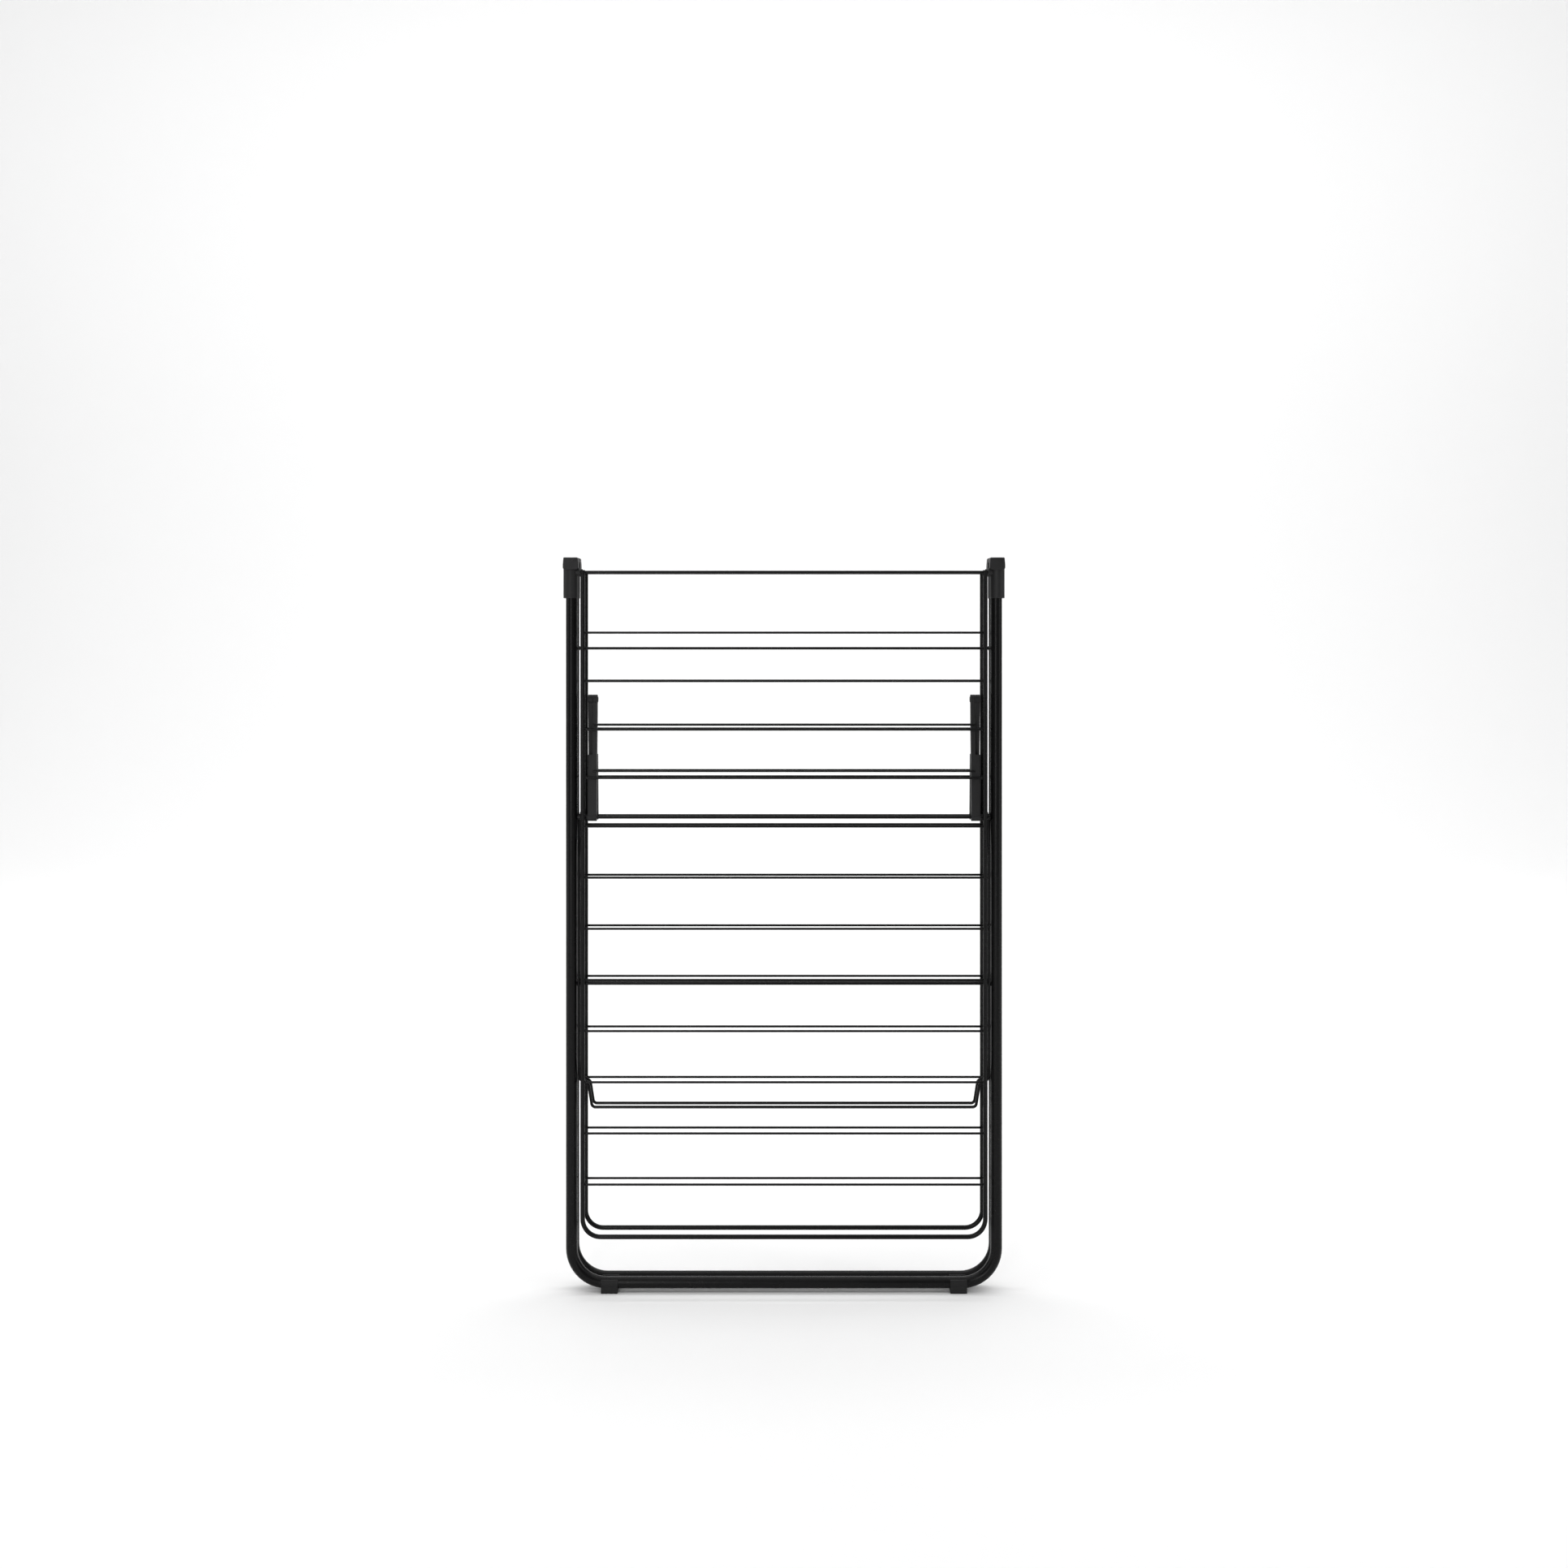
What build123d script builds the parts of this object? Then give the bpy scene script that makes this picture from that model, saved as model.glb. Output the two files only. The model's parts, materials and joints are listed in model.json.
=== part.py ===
"""Free-standing winged folding clothes airer, folded flat and standing on its feet.

Origin: floor level, middle of the width and of the depth.  X runs along the width,
the front faces -Y and Z is up.  Millimetres.

Two bent tube leg frames are hinged together at the top.  A drying wing hangs on each
side, a wire support swings out under each wing, and a two-leaf wire shelf between the
leg frames limits how far they open.
"""
from build123d import *
import math
import os

os.makedirs("parts", exist_ok=True)

# ---------------------------------------------------------------- driving dimensions
# leg frames
LEG_TUBE_RADIUS = 7.5
LEG_TUBE_WALL = 1.0
LEG_HALF_SPAN = 275.5        # middle plane to leg tube centreline
LEG_DEPTH = 10.0             # middle plane to leg tube centreline, front to back
LEG_BASE_HEIGHT = 12.25      # floor to the base tube's centreline
LEG_TUBE_TOP = 932.0
LEG_BEND_RADIUS = 44.5
BRACE_SINK = 1.2             # how far a cross rod's end sinks into the tube wall

UPPER_BRACE_HEIGHT = 835.0
UPPER_BRACE_RADIUS = 1.7
SPREADER_ROD_HEIGHT = 615.8
SPREADER_ROD_RADIUS = 2.0
LOWER_BRACE_HEIGHT = 400.0
LOWER_BRACE_RADIUS = 2.0

# top caps and hinge
HINGE_HEIGHT = 943.0
HINGE_PIN_RADIUS = 2.5
HINGE_PIN_CLEARANCE = 0.05
HINGE_PIN_HEAD_RADIUS = 4.2
HINGE_PIN_HEAD_HEIGHT = 1.2
KNUCKLE_RADIUS = 7.6
KNUCKLE_GAP = 0.5
CAP_INNER = 266.0            # middle plane to the cap's inner face
CAP_OUTER = 286.0
CAP_SPLIT = 276.0            # where the front and rear knuckles meet
CAP_FRONT = 21.0             # middle plane to the hood's flat face
CAP_BACK = 0.5
CAP_TOP = 952.6
HOOD_BOTTOM = 936.8
HOOD_BEVEL = 28.0            # degrees, lets the two hoods tip towards each other
SLEEVE_RADIUS = 9.6
SLEEVE_OFFSET = 1.2          # sleeve axis stands this far outside the tube's axis
SLEEVE_BOTTOM = 900.0
RECESS_WIDTH = 5.0
RECESS_HEIGHT = 3.2
RECESS_DEPTH = 0.7

# wings
WING_ROD_HEIGHT = 933.7
WING_ROD_DEPTH = 13.0
WING_ROD_RADIUS = 2.0
WING_ROD_END = 267.0
WING_ROD_CLEARANCE = 0.06
WING_BOSS_RADIUS = 5.0
WING_BOSS_END = 264.0
WING_BORE_END = 268.0
WING_TUBE_RADIUS = 3.0
WING_HALF_SPAN = 260.4
WING_DEPTH = 18.0
WING_TOP = 936.2
WING_BOTTOM = 73.7
WING_BEND_RADIUS = 23.0
WING_WIRE_RADIUS = 1.5
WING_WIRE_DEPTH = WING_DEPTH - WING_TUBE_RADIUS - WING_WIRE_RADIUS + 0.25
WING_FIRST_GAP = 78.4
WING_UPPER_PITCH = 62.8
WING_UPPER_GAPS = 4
WING_LOWER_PITCH = 66.3
WING_LOWER_WIRES = 7

# wing supports
SUPPORT_WIRE_RADIUS = 1.9
SUPPORT_HALF_SPAN = 265.7
SUPPORT_ARM_DEPTH = 14.6
SUPPORT_BAR_DEPTH = 9.9
SUPPORT_BAR_HALF_SPAN = 249.0
SUPPORT_SHOULDER = 253.5     # where the shoulder under the wing frame turns down
SUPPORT_BAR_HEIGHT = 239.5
SUPPORT_BEND_RADIUS = 5.0
LUG_RADIUS = 4.6
LUG_THICKNESS = 3.0
LUG_CLEARANCE = 0.06

# centre shelf leaves
LEAF_JOINT_HEIGHT = 768.4
LEAF_INNER = 243.0
LEAF_OUTER = 255.0
LEAF_HALF_DEPTH = 4.4
LEAF_HALF_GAP = 0.3          # half the gap between the front and rear leaf ends
LEAF_NARROW_LENGTH = 72.0    # end of each leaf that is only half as wide
LEAF_BARREL_RADIUS = 5.0
LEAF_EYE_RADIUS = 6.2
LEAF_CLEARANCE = 0.06
LEAF_WIRE_RADIUS = 1.2
LEAF_WIRE_STATIONS = (59.5, 119.5)
LEAF_RIVET_RADIUS = 2.2
LEAF_RIVET_HEAD_RADIUS = 3.8
LEAF_RIVET_HEAD = 0.9

# feet
FOOT_POSITION = 226.0
FOOT_WIDTH = 21.5
FOOT_HALF_DEPTH = 9.4
FOOT_TOP = 17.4

FRONT = -1
REAR = 1
LEFT = -1
RIGHT = 1


def plane_at_depth(depth):
    """Upright plane seen from the front, at a given distance along Y."""
    return Plane(origin=(0, depth, 0), x_dir=(1, 0, 0), z_dir=(0, -1, 0))


def plane_at_width(width):
    """Side plane at a given distance along X; its axes are Y and Z."""
    return Plane(origin=(width, 0, 0), x_dir=(0, 1, 0), z_dir=(1, 0, 0))


def bent_frame_path(half_span, depth, top, bottom, bend_radius):
    """Centreline of a U-shaped frame."""
    with BuildLine(plane_at_depth(depth)) as path:
        FilletPolyline(
            (-half_span, top),
            (-half_span, bottom),
            (half_span, bottom),
            (half_span, top),
            radius=bend_radius,
        )
    return path.line


def make_leg_tube(leg_y):
    """U-shaped leg frame bent from one length of tube."""
    path = bent_frame_path(LEG_HALF_SPAN, leg_y, LEG_TUBE_TOP, LEG_BASE_HEIGHT, LEG_BEND_RADIUS)
    with BuildPart() as tube:
        with BuildSketch(Plane(origin=path @ 0, z_dir=path % 0)):
            Circle(LEG_TUBE_RADIUS)
            Circle(LEG_TUBE_RADIUS - LEG_TUBE_WALL, mode=Mode.SUBTRACT)
        sweep(path=path)
    return tube.part


def make_wing_frame(wing_y):
    """U-shaped wing frame of solid rod, as straight runs and bends that meet end to end."""
    path = bent_frame_path(WING_HALF_SPAN, wing_y, WING_TOP, WING_BOTTOM, WING_BEND_RADIUS)
    runs = []
    for edge in path.edges():
        with BuildPart() as run:
            with BuildSketch(Plane(origin=edge @ 0, z_dir=edge % 0)):
                Circle(WING_TUBE_RADIUS)
            sweep(path=edge)
        runs.append(run.part.solid())
    return Compound(runs)


def make_cross_rod(half_length, depth, height, radius):
    """Straight rod along X."""
    with BuildPart() as rod:
        with Locations((0, depth, height)):
            Cylinder(radius, 2 * half_length, rotation=(0, 90, 0))
        ends = rod.faces().sort_by(Axis.X)
        chamfer((ends[0].edges() + ends[-1].edges()), radius * 0.2)
    return rod.part


def make_cap(side, depth_side):
    """Moulded top cap: sleeve over the leg tube, hood, hinge knuckle and wing pivot boss."""
    knuckle_inner = CAP_INNER if depth_side == FRONT else CAP_SPLIT + KNUCKLE_GAP / 2
    knuckle_outer = CAP_SPLIT - KNUCKLE_GAP / 2 if depth_side == FRONT else CAP_OUTER
    other_inner = CAP_SPLIT if depth_side == FRONT else CAP_INNER
    other_outer = CAP_OUTER if depth_side == FRONT else CAP_SPLIT
    hood_middle = (CAP_INNER + CAP_OUTER) / 2
    hood_width = CAP_OUTER - CAP_INNER
    front_y = depth_side * CAP_FRONT
    leg_y = depth_side * LEG_DEPTH
    bevel_top_y = depth_side * (CAP_BACK + (CAP_TOP - HINGE_HEIGHT) * math.tan(math.radians(HOOD_BEVEL)))
    with BuildPart() as cap:
        # hood, rounded like a shield at its lower corners
        with BuildSketch(plane_at_depth(front_y)) as hood_face:
            with BuildLine():
                Polyline(
                    (side * (CAP_INNER + 0.8), CAP_TOP),
                    (side * CAP_INNER, HOOD_BOTTOM + 6.0),
                    (side * CAP_INNER, HOOD_BOTTOM),
                    (side * CAP_OUTER, HOOD_BOTTOM),
                    (side * CAP_OUTER, HOOD_BOTTOM + 6.0),
                    (side * (CAP_OUTER - 0.8), CAP_TOP),
                    close=True,
                )
            make_face()
            fillet(hood_face.vertices().group_by(Axis.Y)[0], 3.0)
            fillet(hood_face.vertices().group_by(Axis.Y)[-1], 1.2)
        extrude(amount=CAP_FRONT - CAP_BACK, dir=(0, -depth_side, 0))
        fillet(cap.faces().sort_by(Axis.Y)[0 if depth_side == FRONT else -1].edges(), 0.9)
        # bevel above the hinge so that the two hoods can tip together
        with BuildSketch(plane_at_width(side * (CAP_INNER - 1))):
            with BuildLine():
                Polyline(
                    (0, HINGE_HEIGHT),
                    (depth_side * CAP_BACK, HINGE_HEIGHT),
                    (bevel_top_y, CAP_TOP + 1),
                    (0, CAP_TOP + 1),
                    close=True,
                )
            make_face()
        extrude(amount=side * (hood_width + 2), mode=Mode.SUBTRACT)
        # sleeve
        with BuildSketch(Plane.XY.offset(SLEEVE_BOTTOM)):
            with Locations((side * (LEG_HALF_SPAN + SLEEVE_OFFSET), leg_y)):
                Circle(SLEEVE_RADIUS)
        extrude(amount=HOOD_BOTTOM + 1 - SLEEVE_BOTTOM)
        fillet(cap.faces().sort_by(Axis.Z)[0].outer_wire().edges(), 0.8)
        # knuckle round the hinge pin
        with BuildSketch(plane_at_width(side * knuckle_inner)):
            with Locations((0, HINGE_HEIGHT)):
                Circle(KNUCKLE_RADIUS)
        extrude(amount=side * (knuckle_outer - knuckle_inner))
        # web joining the knuckle to the hood
        with BuildSketch(plane_at_width(side * knuckle_inner)):
            with BuildLine():
                Polyline(
                    (0, HINGE_HEIGHT - KNUCKLE_RADIUS),
                    (depth_side * (CAP_BACK + 3), HINGE_HEIGHT - 6.0),
                    (depth_side * (CAP_BACK + 3), HINGE_HEIGHT + 1.0),
                    (0, HINGE_HEIGHT + 1.0),
                    close=True,
                )
            make_face()
        extrude(amount=side * (knuckle_outer - knuckle_inner))
        # clearance for the other cap's knuckle
        with BuildSketch(plane_at_width(side * (other_inner - KNUCKLE_GAP))):
            with Locations((0, HINGE_HEIGHT)):
                Circle(KNUCKLE_RADIUS + KNUCKLE_GAP)
        extrude(amount=side * (other_outer - other_inner + 2 * KNUCKLE_GAP), mode=Mode.SUBTRACT)
        # hinge pin hole
        pin_hole_radius = HINGE_PIN_RADIUS + (0 if depth_side == FRONT else HINGE_PIN_CLEARANCE)
        with BuildSketch(plane_at_width(side * (CAP_INNER - 2))):
            with Locations((0, HINGE_HEIGHT)):
                Circle(pin_hole_radius)
        extrude(amount=side * (hood_width + 4), mode=Mode.SUBTRACT)
        # wing pivot boss
        with BuildSketch(plane_at_width(side * WING_BOSS_END)):
            with Locations((depth_side * WING_ROD_DEPTH, WING_ROD_HEIGHT)):
                Circle(WING_BOSS_RADIUS)
        extrude(amount=side * (WING_BORE_END + 2 - WING_BOSS_END))
        # socket for the leg tube
        with BuildSketch(Plane.XY.offset(SLEEVE_BOTTOM - 1)):
            with Locations((side * LEG_HALF_SPAN, leg_y)):
                Circle(LEG_TUBE_RADIUS)
        extrude(amount=LEG_TUBE_TOP - SLEEVE_BOTTOM + 1, mode=Mode.SUBTRACT)
        # bore for the wing rod
        with BuildSketch(plane_at_width(side * (WING_BOSS_END - 1))):
            with Locations((depth_side * WING_ROD_DEPTH, WING_ROD_HEIGHT)):
                Circle(WING_ROD_RADIUS + WING_ROD_CLEARANCE)
        extrude(amount=side * (WING_BORE_END + 1 - WING_BOSS_END), mode=Mode.SUBTRACT)
        # shallow recess in the hood's face
        with BuildSketch(plane_at_depth(front_y)):
            with Locations((hood_middle * side + 5.0, CAP_TOP - 4.2)):
                Rectangle(RECESS_WIDTH, RECESS_HEIGHT)
        extrude(amount=RECESS_DEPTH, dir=(0, -depth_side, 0), mode=Mode.SUBTRACT)
    return cap.part


def make_hinge_pins():
    """Headed pins that join the front and rear caps, one each side."""
    with BuildPart() as pins:
        for side in (LEFT, RIGHT):
            with BuildSketch(plane_at_width(side * (CAP_INNER - 0.1))):
                with Locations((0, HINGE_HEIGHT)):
                    Circle(HINGE_PIN_RADIUS)
            extrude(amount=side * (CAP_OUTER - CAP_INNER + KNUCKLE_GAP))
            with BuildSketch(plane_at_width(side * (CAP_INNER - HINGE_PIN_HEAD_HEIGHT))):
                with Locations((0, HINGE_HEIGHT)):
                    Circle(HINGE_PIN_HEAD_RADIUS)
            extrude(amount=side * HINGE_PIN_HEAD_HEIGHT)
            with BuildSketch(plane_at_width(side * (CAP_OUTER + KNUCKLE_GAP / 2))):
                with Locations((0, HINGE_HEIGHT)):
                    Circle(HINGE_PIN_HEAD_RADIUS)
            extrude(amount=side * HINGE_PIN_HEAD_HEIGHT / 2)
        fillet(pins.faces().sort_by(Axis.X)[0].edges(), 0.3)
        fillet(pins.faces().sort_by(Axis.X)[-1].edges(), 0.3)
    return pins.part


def make_wing_wires(depth_side):
    """Straight drying wires welded to the inner side of the wing frame."""
    heights = []
    height = WING_ROD_HEIGHT - WING_FIRST_GAP
    heights.append(height)
    for _ in range(WING_UPPER_GAPS):
        height -= WING_UPPER_PITCH
        heights.append(height)
    for _ in range(WING_LOWER_WIRES):
        height -= WING_LOWER_PITCH
        heights.append(height)
    with BuildPart() as wires:
        for height in heights:
            with Locations((0, depth_side * WING_WIRE_DEPTH, height)):
                Cylinder(WING_WIRE_RADIUS, 2 * WING_HALF_SPAN + 3.0, rotation=(0, 90, 0))
    return wires.part


def make_support(depth_side):
    """U-shaped wire that swings out under a wing; its arms end in eyes round the spreader rod."""
    arm_y = depth_side * SUPPORT_ARM_DEPTH
    bar_y = depth_side * SUPPORT_BAR_DEPTH
    pivot_y = depth_side * LEG_DEPTH
    lug_exit = SPREADER_ROD_HEIGHT - LUG_RADIUS + 1.0
    right_half = [
        (SUPPORT_HALF_SPAN, pivot_y, lug_exit),
        (SUPPORT_HALF_SPAN, arm_y, lug_exit - 46.0),
        (SUPPORT_HALF_SPAN, arm_y, SUPPORT_BAR_HEIGHT + 64.0),
        (SUPPORT_HALF_SPAN, bar_y, SUPPORT_BAR_HEIGHT + 37.0),
        (SUPPORT_SHOULDER, bar_y, SUPPORT_BAR_HEIGHT + 29.0),
        (SUPPORT_BAR_HALF_SPAN, bar_y, SUPPORT_BAR_HEIGHT),
    ]
    left_half = [(-x, y, z) for x, y, z in reversed(right_half)]
    with BuildPart() as support:
        with BuildLine():
            FilletPolyline(*right_half, *left_half, radius=SUPPORT_BEND_RADIUS)
        with BuildSketch(Plane(origin=right_half[0], z_dir=Vector(*right_half[1]) - Vector(*right_half[0]))):
            Circle(SUPPORT_WIRE_RADIUS)
        sweep()
        for side in (LEFT, RIGHT):
            with BuildSketch(plane_at_width(side * (SUPPORT_HALF_SPAN - LUG_THICKNESS / 2))):
                with Locations((pivot_y, SPREADER_ROD_HEIGHT)):
                    Circle(LUG_RADIUS)
            extrude(amount=side * LUG_THICKNESS)
            with BuildSketch(plane_at_width(side * (SUPPORT_HALF_SPAN - LUG_THICKNESS))):
                with Locations((pivot_y, SPREADER_ROD_HEIGHT)):
                    Circle(SPREADER_ROD_RADIUS + LUG_CLEARANCE)
            extrude(amount=side * 2 * LUG_THICKNESS, mode=Mode.SUBTRACT)
    return support.part


def leaf_plane(width, depth_side):
    """Side plane whose Y axis runs up the leaf from its lower pivot; X points to the outer face."""
    rise = LEAF_JOINT_HEIGHT - SPREADER_ROD_HEIGHT
    along = Vector(0, -depth_side * LEG_DEPTH, rise).normalized()
    outward = Vector(0, depth_side * rise, LEG_DEPTH).normalized()
    origin = (width, depth_side * LEG_DEPTH, SPREADER_ROD_HEIGHT)
    return Plane(origin=origin, x_dir=outward, z_dir=outward.cross(along))


def leaf_length():
    return math.hypot(LEG_DEPTH, LEAF_JOINT_HEIGHT - SPREADER_ROD_HEIGHT)


def make_leaf(side, depth_side):
    """Moulded end bracket of one shelf leaf."""
    length = leaf_length()
    middle = (LEAF_INNER + LEAF_OUTER) / 2
    narrow_inner = LEAF_INNER if depth_side == FRONT else middle + LEAF_HALF_GAP
    narrow_outer = middle - LEAF_HALF_GAP if depth_side == FRONT else LEAF_OUTER
    inner_plane = leaf_plane(side * LEAF_INNER, depth_side)
    narrow_plane = leaf_plane(side * narrow_inner, depth_side)
    along_x = inner_plane.z_dir.X * side
    full = along_x * (LEAF_OUTER - LEAF_INNER)
    narrow = along_x * (narrow_outer - narrow_inner)
    with BuildPart() as leaf:
        with BuildSketch(inner_plane):
            with Locations((0, (length - LEAF_NARROW_LENGTH) / 2)):
                Rectangle(2 * LEAF_HALF_DEPTH, length - LEAF_NARROW_LENGTH)
        extrude(amount=full)
        fillet(leaf.edges().filter_by(Axis.Y, reverse=True).filter_by(Axis.X, reverse=True).filter_by(
            lambda edge: edge.length > length / 2), 1.0)
        with BuildSketch(inner_plane):
            Circle(LEAF_BARREL_RADIUS)
        extrude(amount=full)
        with BuildSketch(narrow_plane):
            with Locations((0, length - LEAF_NARROW_LENGTH / 2 - 1)):
                Rectangle(2 * LEAF_HALF_DEPTH, LEAF_NARROW_LENGTH + 2)
            with Locations((0, length)):
                Circle(LEAF_EYE_RADIUS)
        extrude(amount=narrow)
        # shallow panels between the wires, on the outer face
        panel_depth = 0.8
        with BuildSketch(inner_plane):
            for station in (0.5 * (LEAF_BARREL_RADIUS + LEAF_WIRE_STATIONS[0]) + 2.0, LEAF_WIRE_STATIONS[0] + 24.0):
                with Locations((-LEAF_HALF_DEPTH, station)):
                    Rectangle(2 * panel_depth, 30.0)
        extrude(amount=full, mode=Mode.SUBTRACT)
        with BuildSketch(inner_plane):
            Circle(SPREADER_ROD_RADIUS + LEAF_CLEARANCE)
        extrude(amount=full, mode=Mode.SUBTRACT)
        with BuildSketch(narrow_plane):
            with Locations((0, length)):
                Circle(LEAF_RIVET_RADIUS)
        extrude(amount=narrow, mode=Mode.SUBTRACT)
    return leaf.part


def make_leaf_wires(depth_side):
    """Two wires that cross the shelf leaf, let into the outer face of its end brackets."""
    with BuildPart() as wires:
        for station in LEAF_WIRE_STATIONS:
            reach = (LEAF_INNER + LEAF_OUTER) / 2 - 1.0
            if depth_side == REAR:
                reach = LEAF_OUTER - 1.5
            point = leaf_plane(0, depth_side).from_local_coords(Vector(LEAF_HALF_DEPTH + 0.9, station, 0))
            with Locations((0, point.Y, point.Z)):
                Cylinder(LEAF_WIRE_RADIUS, 2 * reach, rotation=(0, 90, 0))
    return wires.part


def make_leaf_rivets():
    """Rivets of the shelf's centre joint, held in the front leaf's eyes."""
    middle = (LEAF_INNER + LEAF_OUTER) / 2
    with BuildPart() as rivets:
        for side in (LEFT, RIGHT):
            with BuildSketch(plane_at_width(side * (LEAF_INNER - 0.1))):
                with Locations((0, LEAF_JOINT_HEIGHT)):
                    Circle(LEAF_RIVET_RADIUS)
            extrude(amount=side * (middle - LEAF_HALF_GAP - LEAF_INNER + 0.1))
            with BuildSketch(plane_at_width(side * LEAF_INNER)):
                with Locations((0, LEAF_JOINT_HEIGHT)):
                    Circle(LEAF_RIVET_HEAD_RADIUS)
            extrude(amount=-side * LEAF_RIVET_HEAD)
        inner_faces = rivets.faces().filter_by(lambda face: abs(abs(face.center().X) - LEAF_INNER + LEAF_RIVET_HEAD) < 0.05)
        fillet(inner_faces.edges(), 0.4)
    return rivets.part


def make_feet(depth_side):
    """Clip-on feet that hold the base tube from below, one each side."""
    leg_y = depth_side * LEG_DEPTH
    with BuildPart() as feet:
        for side in (LEFT, RIGHT):
            with BuildSketch(plane_at_width(side * FOOT_POSITION - FOOT_WIDTH / 2)):
                with Locations((leg_y, LEG_BASE_HEIGHT)):
                    Circle(FOOT_HALF_DEPTH)
                with Locations((leg_y, LEG_BASE_HEIGHT / 2)):
                    Rectangle(2 * FOOT_HALF_DEPTH - 1.4, LEG_BASE_HEIGHT)
            extrude(amount=FOOT_WIDTH)
        fillet(feet.faces().sort_by(Axis.Z)[:2].edges(), 0.8)
        for side in (LEFT, RIGHT):
            with BuildSketch(plane_at_width(side * FOOT_POSITION - FOOT_WIDTH)):
                with Locations((leg_y, LEG_BASE_HEIGHT)):
                    Circle(LEG_TUBE_RADIUS)
                with Locations((leg_y, FOOT_TOP + 6.0)):
                    Rectangle(4 * FOOT_HALF_DEPTH, 12.0)
            extrude(amount=2 * FOOT_WIDTH, mode=Mode.SUBTRACT)
    return feet.part


def save(part, name):
    part.label = name
    export_step(part, "parts/" + name + ".step")


for depth_side, word in ((FRONT, "front"), (REAR, "rear")):
    leg_y = depth_side * LEG_DEPTH
    wing_y = depth_side * WING_DEPTH
    brace_half = LEG_HALF_SPAN - LEG_TUBE_RADIUS + BRACE_SINK
    save(make_leg_tube(leg_y), "leg_tube_" + word)
    save(make_cross_rod(brace_half, leg_y, UPPER_BRACE_HEIGHT, UPPER_BRACE_RADIUS), "upper_brace_" + word)
    save(make_cross_rod(brace_half, leg_y, SPREADER_ROD_HEIGHT, SPREADER_ROD_RADIUS), "spreader_rod_" + word)
    save(make_cross_rod(brace_half, leg_y, LOWER_BRACE_HEIGHT, LOWER_BRACE_RADIUS), "lower_brace_" + word)
    save(make_cap(LEFT, depth_side), "top_cap_" + word + "_left")
    save(make_cap(RIGHT, depth_side), "top_cap_" + word + "_right")
    save(make_feet(depth_side), "feet_" + word)
    save(make_wing_frame(wing_y), "wing_frame_" + word)
    save(make_cross_rod(WING_ROD_END, depth_side * WING_ROD_DEPTH, WING_ROD_HEIGHT, WING_ROD_RADIUS),
         "wing_pivot_rod_" + word)
    save(make_wing_wires(depth_side), "wing_wires_" + word)
    save(make_support(depth_side), "wing_support_" + word)
    save(make_leaf(LEFT, depth_side), "shelf_leaf_" + word + "_left")
    save(make_leaf(RIGHT, depth_side), "shelf_leaf_" + word + "_right")
    save(make_leaf_wires(depth_side), "shelf_wires_" + word)

save(make_hinge_pins(), "hinge_pins")
save(make_leaf_rivets(), "shelf_rivets")
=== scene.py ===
"""Looks of the folded winged clothes airer: finishes, welds, studio and camera."""

import json
import math
import random

import bpy
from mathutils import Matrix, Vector


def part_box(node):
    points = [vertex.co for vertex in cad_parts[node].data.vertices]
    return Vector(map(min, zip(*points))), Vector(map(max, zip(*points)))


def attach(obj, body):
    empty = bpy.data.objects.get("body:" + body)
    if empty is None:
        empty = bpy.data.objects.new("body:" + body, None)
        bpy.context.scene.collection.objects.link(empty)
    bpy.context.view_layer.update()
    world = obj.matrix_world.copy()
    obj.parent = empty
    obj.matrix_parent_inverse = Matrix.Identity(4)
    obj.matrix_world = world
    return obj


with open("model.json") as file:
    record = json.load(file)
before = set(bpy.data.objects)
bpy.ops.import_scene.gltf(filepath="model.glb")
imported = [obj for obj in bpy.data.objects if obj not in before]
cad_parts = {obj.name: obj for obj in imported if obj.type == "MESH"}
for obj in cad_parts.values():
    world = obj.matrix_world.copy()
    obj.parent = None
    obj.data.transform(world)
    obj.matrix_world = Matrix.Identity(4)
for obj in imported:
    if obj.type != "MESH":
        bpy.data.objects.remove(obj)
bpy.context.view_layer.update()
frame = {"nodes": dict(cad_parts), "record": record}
record = frame["record"]
nodes = frame["nodes"]
slot_of = {entry["node"]: entry["material_slot"] for entry in record["subparts"]}

MM = 0.001
WIRE_SPACING_MIN = 10 * MM    # vertices further apart in height belong to different wires
SPOT_DEPTH = 15.2 * MM        # middle plane to where the wires touch the wing frame
WIRE_SPOT = (2.4 * MM, 0.9 * MM, 1.8 * MM)
ROD_SPOT = (2.6 * MM, 1.2 * MM, 2.3 * MM)
SPOT_RINGS = 5
SPOT_SIDES = 12
# weld fillet, in mm: distance along the rod from its end, and height above its surface
COLLAR_PROFILE = ((-1.6, 2.2), (-0.2, 1.7), (0.5, 0.95), (1.3, 0.45), (2.2, 0.06))
COLLAR_SIDES = 20

COAT_SPECULAR = 0.15
PLASTIC_SPECULAR = 0.26
WORLD_STRENGTH = 0.24


# ------------------------------------------------------------------ materials
def new_material(name, colour, roughness, specular):
    material = bpy.data.materials.new(name)
    material.use_nodes = True
    tree = material.node_tree
    shader = tree.nodes["Principled BSDF"]
    shader.inputs["Base Color"].default_value = (*colour, 1.0)
    shader.inputs["Roughness"].default_value = roughness
    shader.inputs["Specular IOR Level"].default_value = specular
    return material, tree, shader


def add_noise(tree, scale, detail, roughness=0.55):
    coords = tree.nodes.new("ShaderNodeTexCoord")
    noise = tree.nodes.new("ShaderNodeTexNoise")
    noise.inputs["Scale"].default_value = scale
    noise.inputs["Detail"].default_value = detail
    noise.inputs["Roughness"].default_value = roughness
    tree.links.new(coords.outputs["Object"], noise.inputs["Vector"])
    return noise


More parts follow.
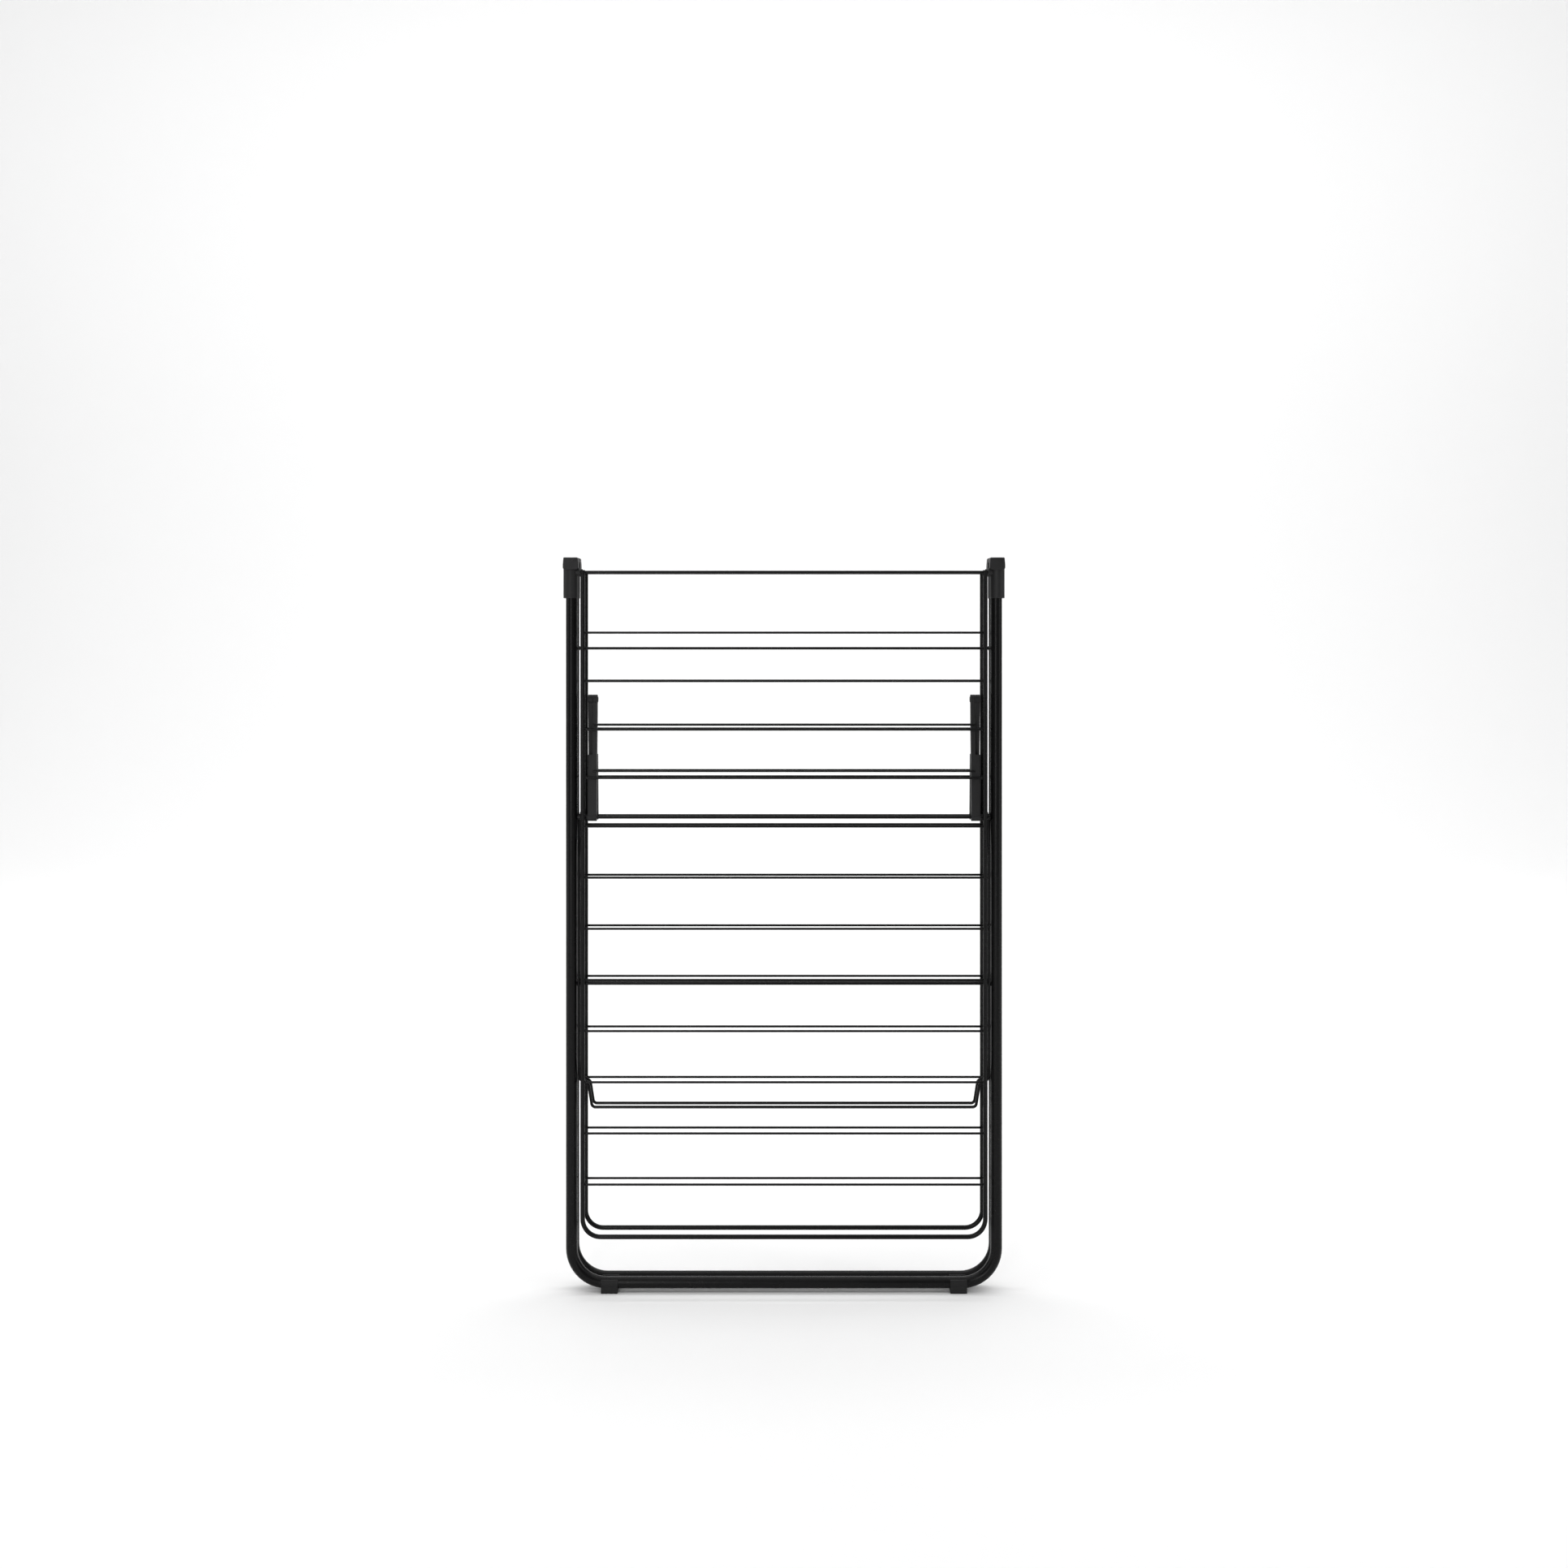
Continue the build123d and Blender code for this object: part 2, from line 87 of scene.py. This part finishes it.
def drive(tree, source, low, high, target, from_low=0.3, from_high=0.7):
    """Maps a texture's value onto a shader input."""
    spread = tree.nodes.new("ShaderNodeMapRange")
    spread.inputs["From Min"].default_value = from_low
    spread.inputs["From Max"].default_value = from_high
    spread.inputs["To Min"].default_value = low
    spread.inputs["To Max"].default_value = high
    tree.links.new(source, spread.inputs["Value"])
    tree.links.new(spread.outputs["Result"], target)


def add_bump(tree, shader, source, strength, distance, below=None):
    bump = tree.nodes.new("ShaderNodeBump")
    bump.inputs["Strength"].default_value = strength
    bump.inputs["Distance"].default_value = distance
    tree.links.new(source, bump.inputs["Height"])
    if below is not None:
        tree.links.new(below.outputs["Normal"], bump.inputs["Normal"])
    tree.links.new(bump.outputs["Normal"], shader.inputs["Normal"])
    return bump


def tint(tree, shader, source, dark, light):
    """Small drift between two nearly equal tones."""
    ramp = tree.nodes.new("ShaderNodeValToRGB")
    ramp.color_ramp.elements[0].position = 0.3
    ramp.color_ramp.elements[0].color = (*dark, 1.0)
    ramp.color_ramp.elements[1].position = 0.7
    ramp.color_ramp.elements[1].color = (*light, 1.0)
    tree.links.new(source, ramp.inputs["Fac"])
    tree.links.new(ramp.outputs["Color"], shader.inputs["Base Color"])


def powder_coat(name, tone, roughness, orange_peel):
    """Satin black powder coat: faint orange peel over a slow drift in tone and gloss."""
    colour = (tone, tone, tone * 1.04)
    material, tree, shader = new_material(name, colour, roughness, COAT_SPECULAR)
    drift = add_noise(tree, 34.0, 3.0)
    tint(tree, shader, drift.outputs["Fac"],
         [c * 0.88 for c in colour], [c * 1.14 for c in colour])
    drive(tree, drift.outputs["Fac"],
          roughness - 0.035, roughness + 0.035, shader.inputs["Roughness"])
    peel = add_noise(tree, 620.0, 2.0)
    grain = add_noise(tree, 2600.0, 1.0)
    first = add_bump(tree, shader, peel.outputs["Fac"], orange_peel, 0.00012)
    add_bump(tree, shader, grain.outputs["Fac"], orange_peel * 0.5, 0.00004, first)
    return material


def moulded_plastic(name, tone, roughness):
    """Matt moulded plastic with a fine spark-eroded grain."""
    colour = (tone, tone, tone * 1.03)
    material, tree, shader = new_material(name, colour, roughness, PLASTIC_SPECULAR)
    drift = add_noise(tree, 60.0, 2.0)
    tint(tree, shader, drift.outputs["Fac"],
         [c * 0.92 for c in colour], [c * 1.08 for c in colour])
    drive(tree, drift.outputs["Fac"],
          roughness - 0.04, roughness + 0.04, shader.inputs["Roughness"])
    texture = add_noise(tree, 1900.0, 3.0)
    add_bump(tree, shader, texture.outputs["Fac"], 0.22, 0.00008)
    return material


finishes = {
    "leg_steel": powder_coat("satin powder coat, tube", 0.0035, 0.27, 0.10),
    "wing_steel": powder_coat("satin powder coat, rod", 0.004, 0.26, 0.08),
    "wire_steel": powder_coat("satin powder coat, wire", 0.0035, 0.28, 0.06),
    "pin_steel": powder_coat("satin pin", 0.010, 0.34, 0.05),
    "cap_plastic": moulded_plastic("matt plastic, cap", 0.012, 0.50),
    "leaf_plastic": moulded_plastic("matt plastic, bracket", 0.012, 0.53),
    "foot_plastic": moulded_plastic("matt plastic, foot", 0.007, 0.55),
}

for node, piece in nodes.items():
    for slot in piece.material_slots:
        slot.material = finishes[slot_of[node]]


# ------------------------------------------------------------------ weld beads
def make_object(name, verts, faces, slot_name, body):
    mesh = bpy.data.meshes.new(name)
    mesh.from_pydata(verts, [], faces)
    mesh.update()
    for polygon in mesh.polygons:
        polygon.use_smooth = True
    piece = bpy.data.objects.new(name, mesh)
    bpy.context.scene.collection.objects.link(piece)
    mesh.materials.append(finishes[slot_name])
    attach(piece, body)
    return piece


def add_blob(verts, faces, centre, radii, rng):
    """Flattened, slightly uneven bead of weld metal."""
    rings, sides = SPOT_RINGS, SPOT_SIDES
    start = len(verts)
    wobble = [1.0 + rng.uniform(-0.09, 0.09) for _ in range(sides)]
    verts.append(tuple(centre + Vector((0, 0, radii[2]))))
    for ring in range(1, rings):
        polar = math.pi * ring / rings
        for side in range(sides):
            turn = 2 * math.pi * side / sides
            offset = Vector((
                radii[0] * math.sin(polar) * math.cos(turn) * wobble[side],
                radii[1] * math.sin(polar) * math.sin(turn) * wobble[side],
                radii[2] * math.cos(polar),
            ))
            verts.append(tuple(centre + offset))
    verts.append(tuple(centre - Vector((0, 0, radii[2]))))
    last = len(verts) - 1
    for side in range(sides):
        following = (side + 1) % sides
        faces.append((start, start + 1 + side, start + 1 + following))
        for ring in range(rings - 2):
            row = start + 1 + ring * sides
            faces.append((row + side, row + sides + side,
                          row + sides + following, row + following))
        row = start + 1 + (rings - 2) * sides
        faces.append((row + side, last, row + following))


def add_collar(verts, faces, end, direction, rod_radius, rng):
    """Concave weld fillet where a rod meets the side of a tube."""
    sides = COLLAR_SIDES
    start = len(verts)
    wobble = [rng.uniform(0.9, 1.12) for _ in range(sides)]
    for along, out in COLLAR_PROFILE:
        for side in range(sides):
            turn = 2 * math.pi * side / sides
            radius = rod_radius + out * MM * wobble[side]
            verts.append((end.x + direction * along * MM,
                          end.y + radius * math.cos(turn),
                          end.z + radius * math.sin(turn)))
    for row in range(len(COLLAR_PROFILE) - 1):
        for side in range(sides):
            following = (side + 1) % sides
            a = start + row * sides
            faces.append((a + side, a + following, a + sides + following, a + sides + side))
    faces.append(tuple(start + side for side in reversed(range(sides))))
    last = start + (len(COLLAR_PROFILE) - 1) * sides
    faces.append(tuple(last + side for side in range(sides)))


def wire_heights(node):
    """Middle height of each wire in a node of separate level wires."""
    groups = []
    for height in sorted({round(v.co.z, 3) for v in nodes[node].data.vertices}):
        if groups and height - groups[-1][-1] < WIRE_SPACING_MIN:
            groups[-1].append(height)
        else:
            groups.append([height])
    return [(group[0] + group[-1]) / 2 for group in groups]


rng = random.Random(7)
for half, sign in (("front", -1), ("rear", 1)):
    # weld spots where the drying wires and the pivot rod meet the wing frame
    frame_low, frame_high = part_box("wing_frame_" + half)
    rod_low, rod_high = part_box("wing_pivot_rod_" + half)
    upright = frame_high[0] - (frame_high[1] - frame_low[1]) / 2
    spots = [(height, WIRE_SPOT) for height in wire_heights("wing_wires_" + half)]
    spots.append(((rod_low[2] + rod_high[2]) / 2, ROD_SPOT))
    verts, faces = [], []
    for height, radii in spots:
        for side in (-1, 1):
            centre = Vector((side * upright, sign * SPOT_DEPTH, height))
            add_blob(verts, faces, centre, radii, rng)
    make_object("wing_weld_spots_" + half, verts, faces, "wire_steel", half + "_wing")
    # weld fillets round the ends of the braces
    leg_low, leg_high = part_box("leg_tube_" + half)
    wall = leg_high[0] - (leg_high[1] - leg_low[1])
    verts, faces = [], []
    for brace in ("upper_brace_", "lower_brace_"):
        low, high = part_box(brace + half)
        for side in (-1, 1):
            end = Vector((side * wall,
                          (low[1] + high[1]) / 2, (low[2] + high[2]) / 2))
            add_collar(verts, faces, end, -side, (high[2] - low[2]) / 2, rng)
    make_object("brace_weld_fillets_" + half, verts, faces, "leg_steel", half + "_leg")


# ------------------------------------------------------------------ studio
def make_floor():
    """Pale floor that sweeps up far behind the object."""
    half_width, front, back = 14.0, -7.0, 4.0
    rise, radius, steps = 7.0, 2.0, 16
    outline = [(front, 0.0), (back, 0.0)]
    for step in range(1, steps + 1):
        turn = 0.5 * math.pi * step / steps
        outline.append((back + radius * math.sin(turn), radius * (1 - math.cos(turn))))
    outline.append((back + radius, rise))
    verts, faces = [], []
    for y, z in outline:
        verts.append((-half_width, y, z))
        verts.append((half_width, y, z))
    for row in range(len(outline) - 1):
        faces.append((2 * row, 2 * row + 1, 2 * row + 3, 2 * row + 2))
    mesh = bpy.data.meshes.new("studio_floor")
    mesh.from_pydata(verts, [], faces)
    for polygon in mesh.polygons:
        polygon.use_smooth = True
    floor = bpy.data.objects.new("studio_floor", mesh)
    bpy.context.scene.collection.objects.link(floor)
    material, _, _ = new_material("pale floor", (0.93, 0.93, 0.93), 0.75, 0.1)
    mesh.materials.append(material)


def add_light(name, place, aim, size, power):
    data = bpy.data.lights.new(name, "AREA")
    data.shape = "RECTANGLE"
    data.size, data.size_y = size
    data.energy = power
    light = bpy.data.objects.new(name, data)
    light.location = place
    light.rotation_euler = (Vector(aim) - Vector(place)).to_track_quat("-Z", "Y").to_euler()
    bpy.context.scene.collection.objects.link(light)


make_floor()
add_light("overhead sheet", (0.0, 0.3, 4.4), (0, 0.3, 0), (7.0, 7.0), 165)
add_light("backdrop wash", (0.0, 1.6, 5.2), (0, 5.6, 1.6), (13.0, 1.5), 262)
add_light("front strip", (-0.75, -3.3, 1.0), (0, 0, 0.5), (0.40, 2.6), 27)
add_light("right strip", (2.4, -0.9, 1.0), (0, 0, 0.5), (0.5, 2.6), 12)
add_light("left strip", (-2.4, -0.5, 1.0), (0, 0, 0.5), (0.5, 2.6), 12)

world = bpy.data.worlds.new("studio")
world.use_nodes = True
world.node_tree.nodes["Background"].inputs["Color"].default_value = (1.0, 1.0, 1.0, 1.0)
world.node_tree.nodes["Background"].inputs["Strength"].default_value = WORLD_STRENGTH
scene = bpy.context.scene
scene.world = world
scene.view_settings.view_transform = "Standard"

# camera: level, square on, with the horizon above the middle of the frame
CAMERA_DISTANCE = 2.3
CAMERA_HEIGHT = 0.85
FACE_DEPTH = 0.012            # middle plane to the plane that FRAME_WIDTH is measured in
FRAME_WIDTH = 1.932 / 0.95
FRAME_MIDDLE = 0.659          # height above the floor at the middle of the frame
SENSOR_WIDTH = 36.0
camera_data = bpy.data.cameras.new("camera")
camera_data.sensor_width = SENSOR_WIDTH
camera_data.lens = SENSOR_WIDTH * (CAMERA_DISTANCE - FACE_DEPTH) / FRAME_WIDTH
camera_data.shift_y = -(CAMERA_HEIGHT - FRAME_MIDDLE) / FRAME_WIDTH
camera = bpy.data.objects.new("camera", camera_data)
camera.location = (0.0, -CAMERA_DISTANCE, CAMERA_HEIGHT)
camera.rotation_euler = (math.radians(90), 0, 0)
scene.collection.objects.link(camera)
scene.camera = camera
